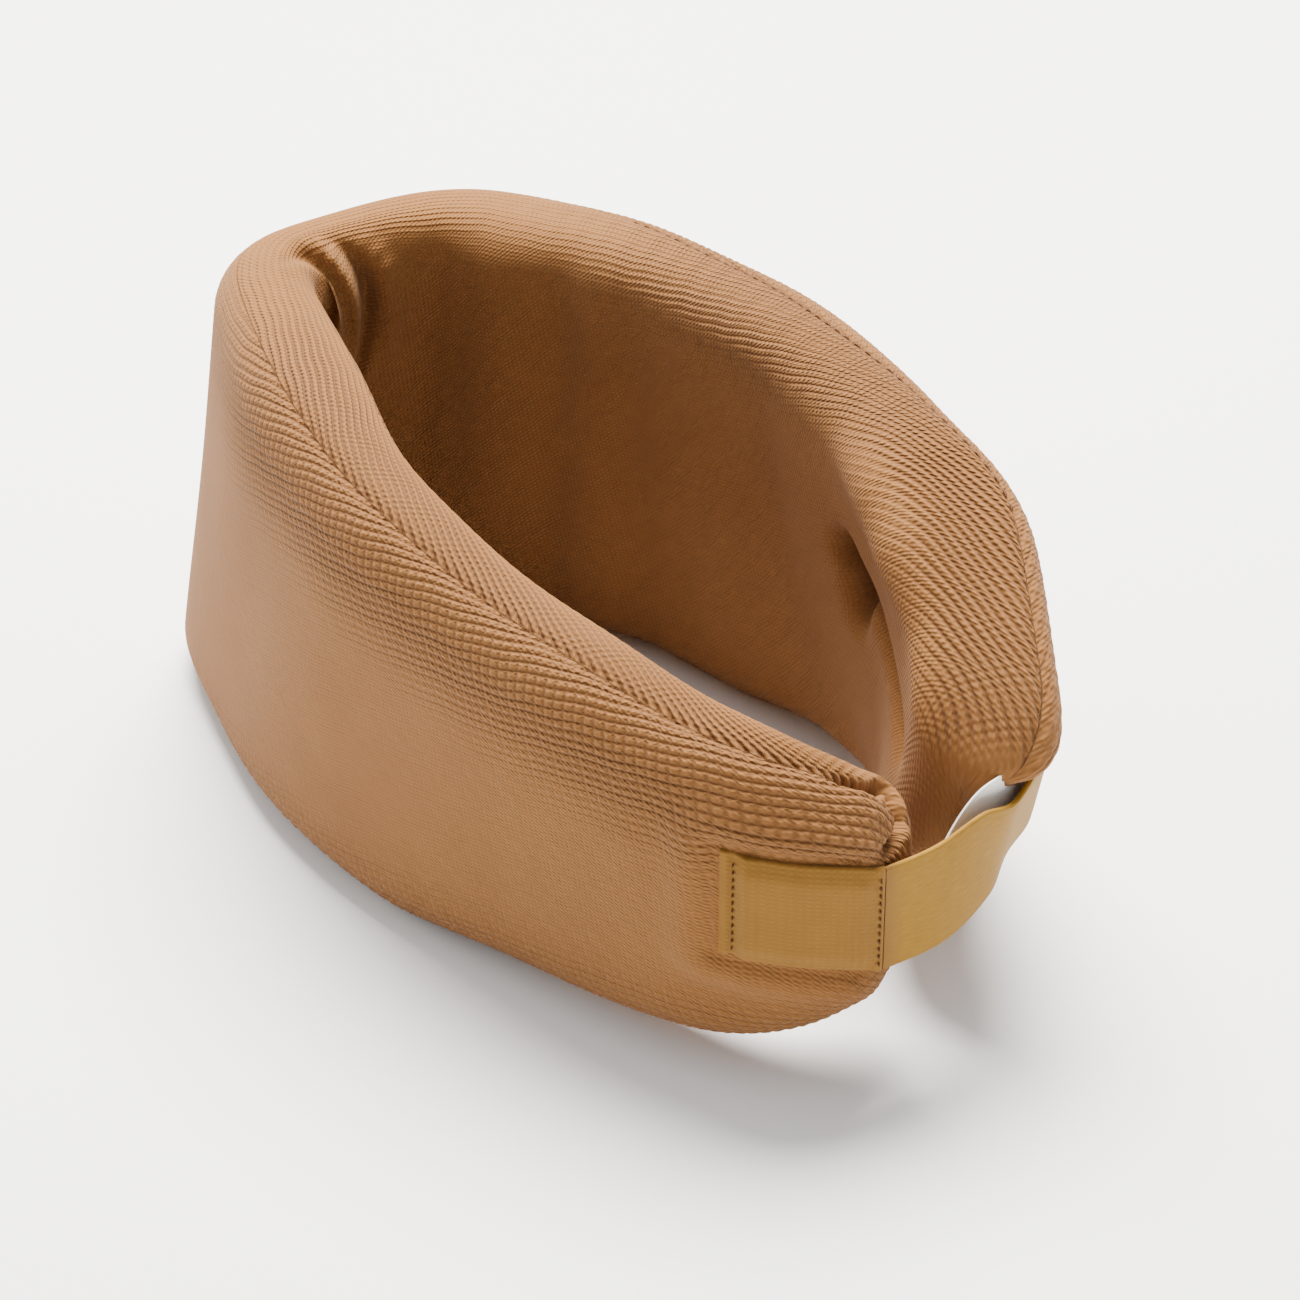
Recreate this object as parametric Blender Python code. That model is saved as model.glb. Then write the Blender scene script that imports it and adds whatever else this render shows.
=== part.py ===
"""Soft cervical collar, closed behind the neck and standing on its lower edge.

A bent strip of foam lies inside two knit panels, which are seamed to each other along the top and
the bottom. A strap sewn to the left limb's end crosses the opening and holds on to the right limb
with hook and loop tape.

Lengths are in metres and +Z is up. The chin is at -Y, the closure at +Y and the wearer's left limb
at +X. A place on the wall has three numbers: s, the distance along the wall's centreline from the
left limb's end round the chin to the right limb's end; out, the offset from the centre surface,
positive away from the neck; and z, the height.
"""

import math

import bmesh
import bpy
import numpy as np

# The wall
PLAN = (
    (0.0188, 0.0945),
    (0.0443, 0.0673),
    (0.0489, -0.0153),
    (0.0258, -0.0753),
    (0.0056, -0.0878),
    (-0.0288, -0.0685),
    (-0.0441, -0.0026),
    (-0.0297, 0.0568),
    (0.0028, 0.0993),
)
TOP_EDGE = (0.0675, 0.0802, 0.0968, 0.1020, 0.1048, 0.0996, 0.0775)
LEAN = (0.0, -0.01, 0.20, 0.17, 0.03)
LEAN_HEIGHT = 0.049
LEAN_CENTRE = (0.0034, 0.0106)
TUCK = 0.36
TUCK_HEIGHT = 0.056
TUCK_BLEND = 0.012
TUCK_LENGTH = 0.075
BOTTOM_RISE = (0.0112, 0.0150)
BOTTOM_FLAT = (0.108, 0.322)
THICKNESS = 0.024
CORNER = 0.85
END_ROUND = 0.037
END_HEIGHT = 0.30
END_THICKNESS = 0.20
CHIN_PINCH = 0.0062
CHIN_PINCH_LENGTH = 0.030

# The cover
KNIT = 0.0012
GAP = 0.0003
TOP_SEAM = 80.0
TOP_SEAM_DIP = 30.0
TOP_SEAM_DIP_LENGTH = 0.080
BOTTOM_SEAM = -75.0
SEAM_HALF_GAP = 5.5
SEAM_THREAD = 0.0004
SEAM_DEPTH = 0.0007
HEM_LENGTH = 0.0045
FOAM_INSET = 0.0016

# The strap and its tapes
TAPE_WIDTH = 0.023
TAPE = 0.0012
HOOK = 0.0009
LOOP = 0.0009
STITCH_THREAD = 0.0003
ROOT = 0.0075
BASE = (0.0080, 0.0310)
BASE_HEIGHTS = (0.0395, 0.0445)
BASE_THICKNESS = 0.0016
BRIDGE_LOWER = (
    (0.0174, 0.1029, 0.0290),
    (0.0059, 0.1023, 0.0325),
    (-0.0025, 0.0988, 0.0350),
)
BRIDGE_UPPER = (
    (0.0197, 0.1025, 0.0515),
    (0.0102, 0.1042, 0.0543),
    (0.0008, 0.1048, 0.0535),
)
TIP_STATIONS = (0.013, 0.029, 0.046, 0.063)
TIP_HEIGHTS = (0.0468, 0.0530, 0.0560, 0.0580)
HOOK_SPAN = (0.64, 0.96)
LOOP_SPAN = (0.017, 0.081)
LOOP_WIDTH = 0.0255
LOOP_SEAM = 0.0018

# The care label
LABEL = 0.0006
LABEL_TOP = ((-0.0020, 0.1018, 0.0620), (0.0155, 0.0996, 0.0480))
LABEL_BOTTOM = ((-0.0035, 0.0988, 0.0443), (0.0130, 0.0970, 0.0345))
LABEL_BOW = 0.0008
LABEL_STEPS = 4

# The upright axes that the right limb and the strap turn about
RING_AXIS = (0.0104, -0.1077, 0.0)
STRAP_AXIS = (0.0328, 0.1019, 0.0)
STRAP_NODES = ("closure_strap", "hook_tape", "hook_tape_thread")
RING_NODES = ("right_", "loop_tape", "care_label")

# Mesh detail
LINE_POINTS = 400
LIMB_STEP = 0.011
CHIN_STEP = 0.005
CHIN_REACH = 0.050
END_STEP = 0.0045
ARC_STEPS = 3
SHORT_ARC_STEPS = 2
FACE_ROWS = 3
STRAP_STEPS = 26

# Colours, as linear RGB
KNIT_TAN = (0.45, 0.24, 0.12)
FOAM_CREAM = (0.80, 0.74, 0.60)
STRAP_GOLD = (0.52, 0.32, 0.12)
THREAD_BROWN = (0.28, 0.14, 0.07)
LABEL_WHITE = (0.85, 0.82, 0.78)


def clear_scene():
    for obj in list(bpy.data.objects):
        bpy.data.objects.remove(obj)


def material(name, colour, roughness):
    made = bpy.data.materials.new(name)
    made.use_nodes = True
    shader = made.node_tree.nodes["Principled BSDF"]
    shader.inputs["Base Color"].default_value = (*colour, 1.0)
    shader.inputs["Roughness"].default_value = roughness
    shader.inputs["Metallic"].default_value = 0.0
    return made


def catmull_rom(points, count):
    """A smooth curve through the points, with count samples."""
    points = np.asarray(points, float)
    ends = (2 * points[0] - points[1], 2 * points[-1] - points[-2])
    padded = np.vstack([ends[0], points, ends[1]])
    t = np.linspace(0, len(points) - 1, count)
    i = np.minimum(t.astype(int), len(points) - 2)
    f = (t - i)[:, None]
    a, b, c, d = (padded[i + k] for k in range(4))
    cubic = -a + 3 * b - 3 * c + d
    square = 2 * a - 5 * b + 4 * c - d
    return 0.5 * (2 * b + (c - a) * f + square * f**2 + cubic * f**3)


def quarter_round(distance, radius):
    """The height of a quarter circle, from 0 at its foot to 1 at radius."""
    share = min(max(distance / radius, 0.0), 1.0)
    return math.sqrt(1 - (1 - share) ** 2)


class Wall:
    """The collar's wall: its centreline, its two edges and its rounded section."""

    def __init__(self):
        self.line = catmull_rom(PLAN, LINE_POINTS)
        steps = np.linalg.norm(np.diff(self.line, axis=0), axis=1)
        self.along = np.concatenate([[0.0], np.cumsum(steps)])
        self.length = self.along[-1]
        self.chin = self.along[np.argmin(self.line[:, 1])]
        self.top = catmull_rom([[height] for height in TOP_EDGE], LINE_POINTS)[:, 0]
        self.lean = catmull_rom([[slope] for slope in LEAN], LINE_POINTS)[:, 0]

    def centre(self, s):
        return np.array([np.interp(s, self.along, self.line[:, k]) for k in (0, 1)])

    def outward(self, s):
        """The horizontal direction away from the neck at station s."""
        reach = self.length / LINE_POINTS
        ahead = self.centre(min(s + reach, self.length))
        behind = self.centre(max(s - reach, 0.0))
        run = (ahead - behind) / np.linalg.norm(ahead - behind)
        return np.array([-run[1], run[0]])

    def edges(self, s):
        """The heights of the bottom and the top edge, before the limb's end is rounded."""
        share = np.linspace(0, self.length, LINE_POINTS)
        top = np.interp(s, share, self.top)
        before = max((BOTTOM_FLAT[0] - s) / BOTTOM_FLAT[0], 0.0)
        after = max((s - BOTTOM_FLAT[1]) / (self.length - BOTTOM_FLAT[1]), 0.0)
        return BOTTOM_RISE[0] * before + BOTTOM_RISE[1] * after, top

    def half_sizes(self, s):
        """Half the section's thickness and half its height, both less at a limb's end."""
        left = min(s, self.length - s)
        thick = END_THICKNESS + (1 - END_THICKNESS) * quarter_round(left, THICKNESS / 2)
        tall = END_HEIGHT + (1 - END_HEIGHT) * quarter_round(left, END_ROUND)
        bottom, top = self.edges(s)
        return THICKNESS / 2 * thick, (top - bottom) / 2 * tall

    def pinch(self, s):
        """How much of the inner half-thickness is left where the foam buckles inside the chin."""
        bell = math.exp(-(((s - self.chin) / CHIN_PINCH_LENGTH) ** 2))
        return 1 - bell * CHIN_PINCH / (THICKNESS / 2)

    def tuck(self, s, z):
        """How far the strap draws the lower half of the right limb's end towards the neck."""
        share = min(max((s - self.length) / TUCK_LENGTH + 1, 0.0), 1.0)
        below = TUCK_HEIGHT - z
        soft = (below + math.hypot(below, TUCK_BLEND)) / 2
        return TUCK * share**2 * (3 - 2 * share) * soft

    def point(self, s, out, z):
        """The world position of a place on the wall."""
        centre = self.centre(s)
        inward = np.array(LEAN_CENTRE) - centre
        inward /= np.linalg.norm(inward)
        share = np.linspace(0, self.length, LINE_POINTS)
        slope = np.interp(s, share, self.lean)
        if out < 0:
            out *= self.pinch(s)
        shift = slope * (z - LEAN_HEIGHT) + self.tuck(s, z)
        spot = centre + inward * shift + self.outward(s) * out
        return np.array([spot[0], spot[1], z])

    def top_seam(self, s):
        """The section angle of the top seam, which runs lower on the outside of the chin."""
        bell = math.exp(-(((s - self.chin) / TOP_SEAM_DIP_LENGTH) ** 2))
        return TOP_SEAM - TOP_SEAM_DIP * bell

    def section_point(self, s, angle, quadrant, inset):
        """A point of the rounded section: 0 degrees faces out, 90 up, 180 in and 270 down.

        Quadrant 0 is the upper outer corner and 1 the upper inner one. A fraction lies on the flat
        between two corners.
        """
        half_thick, half_tall = self.half_sizes(s)
        radius = CORNER * half_thick
        out_sign = np.interp(quadrant % 4, range(5), (1, -1, -1, 1, 1))
        up_sign = np.interp(quadrant % 4, range(5), (1, 1, -1, -1, 1))
        turn = math.radians(angle)
        reach = radius - inset
        out = out_sign * (half_thick - radius) + reach * math.cos(turn)
        up = up_sign * (half_tall - radius) + reach * math.sin(turn)
        return self.point(s, out, sum(self.edges(s)) / 2 + up)

    def outer_face(self, s, z):
        """How far out the wall's outer face lies at station s and height z."""
        half_thick, half_tall = self.half_sizes(s)
        radius = CORNER * half_thick
        above = abs(z - sum(self.edges(s)) / 2) - (half_tall - radius)
        if above <= 0:
            return half_thick
        return half_thick - radius + math.sqrt(max(radius**2 - above**2, 0.0))


def section_angles(start, end):
    """(angle, quadrant) pairs between two angles in degrees, with rows on the two upright faces."""
    pairs = []
    for quadrant in range(math.floor(start / 90), math.ceil(end / 90)):
        low = max(start, 90 * quadrant)
        high = min(end, 90 * (quadrant + 1))
        steps = ARC_STEPS if high - low > 42 else SHORT_ARC_STEPS
        pairs += [(low + (high - low) * k / steps, quadrant) for k in range(steps + 1)]
        if quadrant % 2 and (high < end or end - start == 360):
            pairs += [(high, quadrant + k / FACE_ROWS) for k in range(1, FACE_ROWS)]
    return pairs


def stations(start, stop, step):
    count = max(1, round(abs(stop - start) / step))
    return list(np.linspace(start, stop, count + 1))


def limb_stations(wall, start, left):
    """Stations from start, a distance from the limb's end, to the chin, closer together at the end."""
    chin = wall.chin - GAP / 2 if left else wall.length - wall.chin - GAP / 2
    spots = stations(start, END_ROUND, END_STEP)
    spots += stations(END_ROUND, chin - CHIN_REACH, LIMB_STEP)[1:]
    spots += stations(chin - CHIN_REACH, chin, CHIN_STEP)[1:]
    return spots if left else [wall.length - s for s in reversed(spots)]


def add_object(name, mesh, look):
    mesh.materials.append(look)
    mesh.shade_smooth()
    mesh.set_sharp_from_angle(angle=math.radians(35))
    obj = bpy.data.objects.new(name, mesh)
    bpy.context.scene.collection.objects.link(obj)
    return obj


def loft(name, rings, look, closed_run=False):
    """One closed solid through rings of equal length, with its two ends capped unless the run closes."""
    build = bmesh.new()
    rows = [[build.verts.new(point) for point in ring] for ring in rings]
    pairs = list(zip(rows, rows[1:] + rows[:1])) if closed_run else list(zip(rows, rows[1:]))
    for first, second in pairs:
        for k in range(len(first)):
            n = (k + 1) % len(first)
            build.faces.new((first[k], first[n], second[n], second[k]))
    if not closed_run:
        build.faces.new(reversed(rows[0]))
        build.faces.new(rows[-1])
    bmesh.ops.recalc_face_normals(build, faces=build.faces)
    bmesh.ops.triangulate(build, faces=build.faces)
    mesh = bpy.data.meshes.new(name)
    build.to_mesh(mesh)
    build.free()
    return add_object(name, mesh, look)


def thread(name, points, radius, look, sides=6, cyclic=False):
    """A round thread through the points, as one closed tube."""
    points = np.asarray(points, float)
    count = len(points)
    rings = []
    for i, point in enumerate(points):
        ahead = points[(i + 1) % count] if cyclic else points[min(i + 1, count - 1)]
        behind = points[i - 1] if cyclic else points[max(i - 1, 0)]
        run = (ahead - behind) / np.linalg.norm(ahead - behind)
        side = np.cross(run, (0.0, 0.0, 1.0))
        if np.linalg.norm(side) < 0.3:
            side = np.cross(run, (0.6, 0.8, 0.0))
        side /= np.linalg.norm(side)
        up = np.cross(side, run)
        turns = [2 * math.pi * k / sides for k in range(sides)]
        rings.append([point + radius * (math.cos(a) * side + math.sin(a) * up) for a in turns])
    return loft(name, rings, look, closed_run=cyclic)


def foam_core(wall, name, left, look):
    """The foam strip inside one limb, shorter than the cover by the hem."""
    angles = section_angles(0, 360)
    spots = limb_stations(wall, HEM_LENGTH + GAP, left)
    loft(name, [[wall.section_point(s, a, q, FOAM_INSET) for a, q in angles] for s in spots], look)


def knit_panel(wall, name, left, outer, look):
    """The outer or the inner knit panel of a limb: a shell from one seam to the other."""
    rings = []
    for s in limb_stations(wall, HEM_LENGTH, left):
        top = wall.top_seam(s)
        angles = section_angles(BOTTOM_SEAM + SEAM_HALF_GAP, top - SEAM_HALF_GAP)
        if not outer:
            angles = section_angles(top + SEAM_HALF_GAP, 360 + BOTTOM_SEAM - SEAM_HALF_GAP)
        face = [wall.section_point(s, a, q, 0.0) for a, q in angles]
        back = [wall.section_point(s, a, q, KNIT) for a, q in reversed(angles)]
        rings.append(face + back)
    loft(name, rings, look)


def seam_thread(wall, name, left, top, look):
    """The thread that lies in the groove between the two panels."""
    path = []
    for s in limb_stations(wall, HEM_LENGTH + GAP, left):
        angle = wall.top_seam(s) if top else BOTTOM_SEAM
        path.append(wall.section_point(s, angle, math.floor(angle / 90), SEAM_DEPTH))
    thread(name, path, SEAM_THREAD, look, sides=4)


def end_hem(wall, name, left, look):
    """The folded and sewn end of the cover, a solid cap over the limb's end."""
    angles = section_angles(0, 360)
    spots = stations(0.0, HEM_LENGTH - GAP, 0.0014)
    if not left:
        spots = [wall.length - s for s in reversed(spots)]
    loft(name, [[wall.section_point(s, a, q, 0.0) for a, q in angles] for s in spots], look)


def limb(wall, side, looks):
    """One half of the foam ring with its cover, from the limb's end to the fold at the chin."""
    left = side == "left"
    foam_core(wall, f"{side}_foam_core", left, looks["foam"])
    knit_panel(wall, f"{side}_outer_panel", left, True, looks["knit"])
    knit_panel(wall, f"{side}_inner_panel", left, False, looks["knit"])
    seam_thread(wall, f"{side}_top_seam_thread", left, True, looks["thread"])
    seam_thread(wall, f"{side}_bottom_seam_thread", left, False, looks["thread"])
    end_hem(wall, f"{side}_end_hem", left, looks["knit"])


def face_plate(wall, name, spots, heights, width, lift, thickness, look):
    """A flat piece that lies on the wall's outer face, lift above it; heights are its middle at each spot."""
    rings = []
    for s, middle in zip(spots, heights):
        rows = [middle + width * share for share in (-0.5, -0.25, 0.0, 0.25, 0.5)]
        outs = [wall.outer_face(s, z) + lift for z in rows]
        under = [wall.point(s, out, z) for out, z in zip(outs, rows)]
        over = [wall.point(s, out + thickness, z) for out, z in zip(outs, rows)]
        rings.append(under + over[::-1])
    loft(name, rings, look)


def strap_base(wall, looks):
    """The sewn-down end of the strap with its knit facing, and the stitch rows that hold it."""
    spots = stations(*BASE, 0.0046)
    heights = np.linspace(*BASE_HEIGHTS, len(spots))
    face_plate(
        wall, "strap_base", spots, heights, TAPE_WIDTH, GAP, BASE_THICKNESS, looks["knit"]
    )
    lift = GAP + BASE_THICKNESS + GAP + STITCH_THREAD
    start, stop = BASE[0] + 0.0012, BASE[1] - 0.0022
    rows = {"strap_root_thread": start, "strap_base_thread": stop}
    for name, s in rows.items():
        middle = np.interp(s, BASE, BASE_HEIGHTS)
        path = []
        for k in range(17):
            z = middle + TAPE_WIDTH * (k / 16 - 0.5) * 0.9
            rise = 0.0003 * (k % 2)
            path.append(wall.point(s, wall.outer_face(s, z) + lift + rise, z))
        thread(name, path, STITCH_THREAD, looks["thread"], sides=5)


class Strap:
    """The strap's mid surface: two edge curves, ruled across."""

    def __init__(self, wall):
        stack = GAP + LOOP + GAP + HOOK + GAP + TAPE / 2
        lower, upper = [], []

        def add(s, z, lift):
            """Adds the two edges at station s, moved out together where the wall bulges between them."""
            out = wall.outer_face(s, z) + lift
            half = TAPE_WIDTH / 2
            low, middle, high = (wall.point(s, out, height) for height in (z - half, z, z + half))
            bulge = middle - (low + high) / 2
            lower.append(low + bulge)
            upper.append(high + bulge)

        add(ROOT, BASE_HEIGHTS[0], GAP + TAPE / 2)
        lower += [np.array(point) for point in BRIDGE_LOWER]
        upper += [np.array(point) for point in BRIDGE_UPPER]
        for left, z in zip(TIP_STATIONS, TIP_HEIGHTS):
            add(wall.length - left, z, stack)
        self.lower = catmull_rom(lower, LINE_POINTS)
        self.upper = catmull_rom(upper, LINE_POINTS)

    def place(self, t, across, out):
        """A point at share t of the length, across from -0.5 to 0.5, and out from the mid surface."""
        i = min(int(t * (LINE_POINTS - 1)), LINE_POINTS - 2)
        f = t * (LINE_POINTS - 1) - i
        low = self.lower[i] * (1 - f) + self.lower[i + 1] * f
        high = self.upper[i] * (1 - f) + self.upper[i + 1] * f
        run = self.lower[i + 1] + self.upper[i + 1] - self.lower[i] - self.upper[i]
        normal = np.cross(run, high - low)
        normal /= np.linalg.norm(normal)
        return low + (high - low) * (across + 0.5) + normal * out

    def length(self):
        middle = (self.lower + self.upper) / 2
        return float(np.linalg.norm(np.diff(middle, axis=0), axis=1).sum())

    def band(self, name, start, stop, width, out, thickness, look, tip=0.0):
        """A flat band along the strap, with its far corners rounded over tip."""
        length = self.length()
        rings = []
        for t in np.linspace(start, stop, max(3, round(STRAP_STEPS * (stop - start)) + 1)):
            share = 1.0
            if tip:
                share = 0.55 + 0.45 * quarter_round((stop - t) * length, tip)
            half = 0.5 * width / TAPE_WIDTH * share
            near, far = out - thickness / 2, out + thickness / 2
            corners = ((-half, near), (0.0, near), (half, near), (half, far), (0.0, far), (-half, far))
            rings.append([self.place(t, across, level) for across, level in corners])
        loft(name, rings, look)

    def stitched_box(self, name, start, stop, width, out, look):
        """A thread loop round a rectangle on the strap's outer face."""
        half = 0.5 * width / TAPE_WIDTH
        steps = 8
        along = np.linspace(start, stop, steps + 1)
        across = np.linspace(-half, half, steps + 1)
        path = [(t, -half) for t in along[:-1]] + [(stop, a) for a in across[:-1]]
        path += [(t, half) for t in along[::-1][:-1]] + [(start, a) for a in across[::-1][:-1]]
        points = [self.place(t, a, out) for t, a in path]
        thread(name, points, STITCH_THREAD, look, sides=5, cyclic=True)


def closure_strap(wall, looks):
    """The free strap with the hook tape behind its tip."""
    strap = Strap(wall)
    strap.band("closure_strap", 0.0, 1.0, TAPE_WIDTH, 0.0, TAPE, looks["strap"], tip=0.005)
    behind = -(TAPE / 2 + GAP + HOOK / 2)
    strap.band("hook_tape", *HOOK_SPAN, TAPE_WIDTH - 0.003, behind, HOOK, looks["hook"])
    front = TAPE / 2 + GAP + STITCH_THREAD
    span = (HOOK_SPAN[0] + 0.02, HOOK_SPAN[1] - 0.02)
    strap.stitched_box("hook_tape_thread", *span, TAPE_WIDTH - 0.007, front, looks["strap_thread"])


def loop_tape(wall, looks):
    """The loop tape on the right limb's outer face, which the hook tape grips."""
    near, far = (wall.length - reach for reach in LOOP_SPAN)
    spots = [s for s in limb_stations(wall, HEM_LENGTH, False) if far < s < near]
    heights = [np.interp(wall.length - s, TIP_STATIONS, TIP_HEIGHTS) for s in spots]
    face_plate(wall, "loop_tape", spots, heights, LOOP_WIDTH, GAP, LOOP, looks["strap"])
    lift = GAP + LOOP + GAP + STITCH_THREAD
    for name, sign in (("loop_tape_upper_thread", 0.5), ("loop_tape_lower_thread", -0.5)):
        rows = [middle + sign * (LOOP_WIDTH - LOOP_SEAM) for middle in heights]
        path = [wall.point(s, wall.outer_face(s, z) + lift, z) for s, z in zip(spots, rows)]
        thread(name, path, STITCH_THREAD, looks["strap_thread"], sides=4)


def care_label(looks):
    """The blank label that leaves the right limb's end and slopes down behind the strap."""
    top = np.array(LABEL_TOP)
    bottom = np.array(LABEL_BOTTOM)
    outward = np.cross(bottom[0] - top[0], top[1] - top[0])
    outward /= np.linalg.norm(outward)
    rings = []
    for share in np.linspace(0, 1, LABEL_STEPS + 1):
        bow = outward * LABEL_BOW * math.sin(math.pi * share)
        high = top[0] + (top[1] - top[0]) * share + bow
        low = bottom[0] + (bottom[1] - bottom[0]) * share + bow
        rings.append([high, low, low + outward * LABEL, high + outward * LABEL])
    loft("care_label", rings, looks["label"])


def build_looks():
    return {
        "knit": material("knit", KNIT_TAN, 0.9),
        "foam": material("foam", FOAM_CREAM, 0.95),
        "strap": material("strap", STRAP_GOLD, 0.75),
        "hook": material("hook", STRAP_GOLD, 0.6),
        "thread": material("thread", THREAD_BROWN, 0.8),
        "strap_thread": material("strap_thread", STRAP_GOLD, 0.8),
        "label": material("label", LABEL_WHITE, 0.5),
    }


def hang_on(axis_name, spot, prefixes):
    """Parents the pieces whose names start so to an empty on their joint's axis."""
    axis = bpy.data.objects.new(axis_name, None)
    axis.location = spot
    bpy.context.scene.collection.objects.link(axis)
    for obj in bpy.data.objects:
        if obj.name.startswith(prefixes):
            obj.parent = axis
            obj.location = [-value for value in spot]


def main():
    clear_scene()
    looks = build_looks()
    wall = Wall()
    limb(wall, "left", looks)
    limb(wall, "right", looks)
    strap_base(wall, looks)
    closure_strap(wall, looks)
    loop_tape(wall, looks)
    care_label(looks)
    hang_on("ring_open_axis", RING_AXIS, RING_NODES)
    hang_on("strap_peel_axis", STRAP_AXIS, STRAP_NODES)


main()
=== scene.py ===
"""Looks of the soft cervical collar: a foam ring in a ribbed knit cover with a hook and loop strap."""

import math

import bpy
import numpy as np
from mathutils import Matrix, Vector


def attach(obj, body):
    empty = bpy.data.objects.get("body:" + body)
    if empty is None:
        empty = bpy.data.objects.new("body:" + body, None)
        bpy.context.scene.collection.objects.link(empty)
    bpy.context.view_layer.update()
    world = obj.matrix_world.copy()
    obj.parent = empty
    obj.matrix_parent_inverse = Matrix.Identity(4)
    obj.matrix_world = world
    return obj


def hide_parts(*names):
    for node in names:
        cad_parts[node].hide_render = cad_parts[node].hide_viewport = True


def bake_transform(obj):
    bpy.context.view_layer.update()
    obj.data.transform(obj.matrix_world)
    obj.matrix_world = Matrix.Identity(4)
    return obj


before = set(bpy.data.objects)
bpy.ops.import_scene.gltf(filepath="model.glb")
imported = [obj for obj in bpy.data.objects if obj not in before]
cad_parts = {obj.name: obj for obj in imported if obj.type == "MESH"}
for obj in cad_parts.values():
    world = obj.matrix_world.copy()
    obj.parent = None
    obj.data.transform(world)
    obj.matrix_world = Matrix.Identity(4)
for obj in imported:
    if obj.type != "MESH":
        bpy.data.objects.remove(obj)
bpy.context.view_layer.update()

# The wall, as the CAD builds it: s runs along the centreline from the left limb's end to the right's
PLAN = (
    (0.0188, 0.0945),
    (0.0443, 0.0673),
    (0.0489, -0.0153),
    (0.0258, -0.0753),
    (0.0056, -0.0878),
    (-0.0288, -0.0685),
    (-0.0441, -0.0026),
    (-0.0297, 0.0568),
    (0.0028, 0.0993),
)
TOP_EDGE = (0.0675, 0.0802, 0.0968, 0.1020, 0.1048, 0.0996, 0.0775)
LEAN = (0.0, -0.01, 0.20, 0.17, 0.03)
LEAN_HEIGHT = 0.049
LEAN_CENTRE = (0.0034, 0.0106)
TUCK = 0.36
TUCK_HEIGHT = 0.056
TUCK_BLEND = 0.012
TUCK_LENGTH = 0.075
BOTTOM_RISE = (0.0112, 0.0150)
BOTTOM_FLAT = (0.108, 0.322)
THICKNESS = 0.024
CORNER = 0.85
END_ROUND = 0.037
END_HEIGHT = 0.30
END_THICKNESS = 0.20
CHIN_PINCH = 0.0062
CHIN_PINCH_LENGTH = 0.030
TOP_SEAM = math.radians(80)
TOP_SEAM_DIP = math.radians(30)
TOP_SEAM_DIP_LENGTH = 0.080
RIGHT_SEAM_TURN = math.radians(40)
RIGHT_SEAM_SPAN = (0.335, 0.400)
BOTTOM_SEAM = math.radians(75)
LINE_POINTS = 400

# The strap, as the CAD builds it
TAPE_WIDTH = 0.023
TAPE = 0.0012
TAPE_STACK = 0.0033
ROOT = 0.0075
BASE = (0.0080, 0.0310)
BASE_HEIGHTS = (0.0395, 0.0445)
BRIDGE_LOWER = (
    (0.0174, 0.1029, 0.0290),
    (0.0059, 0.1023, 0.0325),
    (-0.0025, 0.0988, 0.0350),
)
BRIDGE_UPPER = (
    (0.0197, 0.1025, 0.0515),
    (0.0102, 0.1042, 0.0543),
    (0.0008, 0.1048, 0.0535),
)
TIP_STATIONS = (0.013, 0.029, 0.046, 0.063)
TIP_HEIGHTS = (0.0468, 0.0530, 0.0560, 0.0580)

# The strap's height at the right limb's end, how far the strap's root and its base stand off the
# wall, and the step over which the strap's direction is taken
LIMB_END_STRAP_HEIGHT = 0.0430
ROOT_LIFT = 0.0009
BASE_LIFT = 0.0005
STRAP_STEP = 0.0005

# The tapes' meshes: rings along, and points across a face and round an edge
STRAP_RINGS = 190
BASE_RINGS = 90
BAND_FACE_POINTS = 29
BAND_EDGE_POINTS = 9
TAPE_EDGE_ANGLE = math.radians(50)
STRAP_TIP_ROUND = 0.006

# Sewn stitches; the right seam's row starts at a distance past the chin and stops at a station
STITCH_POINTS = 7
STITCH_SIDES = 6
DOTTED_STITCHES = 12
SEAM_STITCH = 0.0030
SEAM_STITCH_SPAN = (0.075, 0.400)

# The care label's edges, from its hidden root to its free corner, the size it was cut to, its
# mesh, and how far its two faces stand off
LABEL_TOP = (
    (-0.0075, 0.1003, 0.0640),
    (0.0005, 0.1036, 0.0595),
    (0.0085, 0.1023, 0.0566),
    (0.0155, 0.1002, 0.0482),
)
LABEL_BOTTOM = (
    (-0.0085, 0.0990, 0.0490),
    (-0.0030, 0.1012, 0.0443),
    (0.0050, 0.1001, 0.0400),
    (0.0130, 0.0980, 0.0345),
)
LABEL_GRID = (34, 14)
LABEL_FACES = (0.00045, 0.0001)

# The cover's mesh: steps along the wall, and rows round its section
STATION_STEP = 0.00045
END_STATIONS = 26
CORNER_POINTS = 25
CAP_RINGS = 8
CAP_BULGE = 0.0012
OUTER_BAND = 0.032
INNER_BAND = 0.018
OUTER_BAND_ROWS = 104
OUTER_ROWS = 62
INNER_ROWS = 88
INNER_BAND_ROWS = 60
CHIN_HALF = 0.034

# How far the right limb's end bulges over the strap and is drawn forward over the label, and how
# uneven the foam is
LIMB_END_BULGE = 0.0033
LIMB_END_PULL = 0.0058
BODY_UNEVENNESS = 0.00035

# Soft upright swells and hollows of the right limb's inner wall: place along, width and height
INNER_SWELLS = (
    (0.238, 0.006, -0.0012),
    (0.258, 0.008, 0.0010),
    (0.276, 0.006, -0.0012),
    (0.296, 0.007, -0.0009),
    (0.318, 0.010, 0.0009),
    (0.342, 0.009, -0.0008),
)

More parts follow.
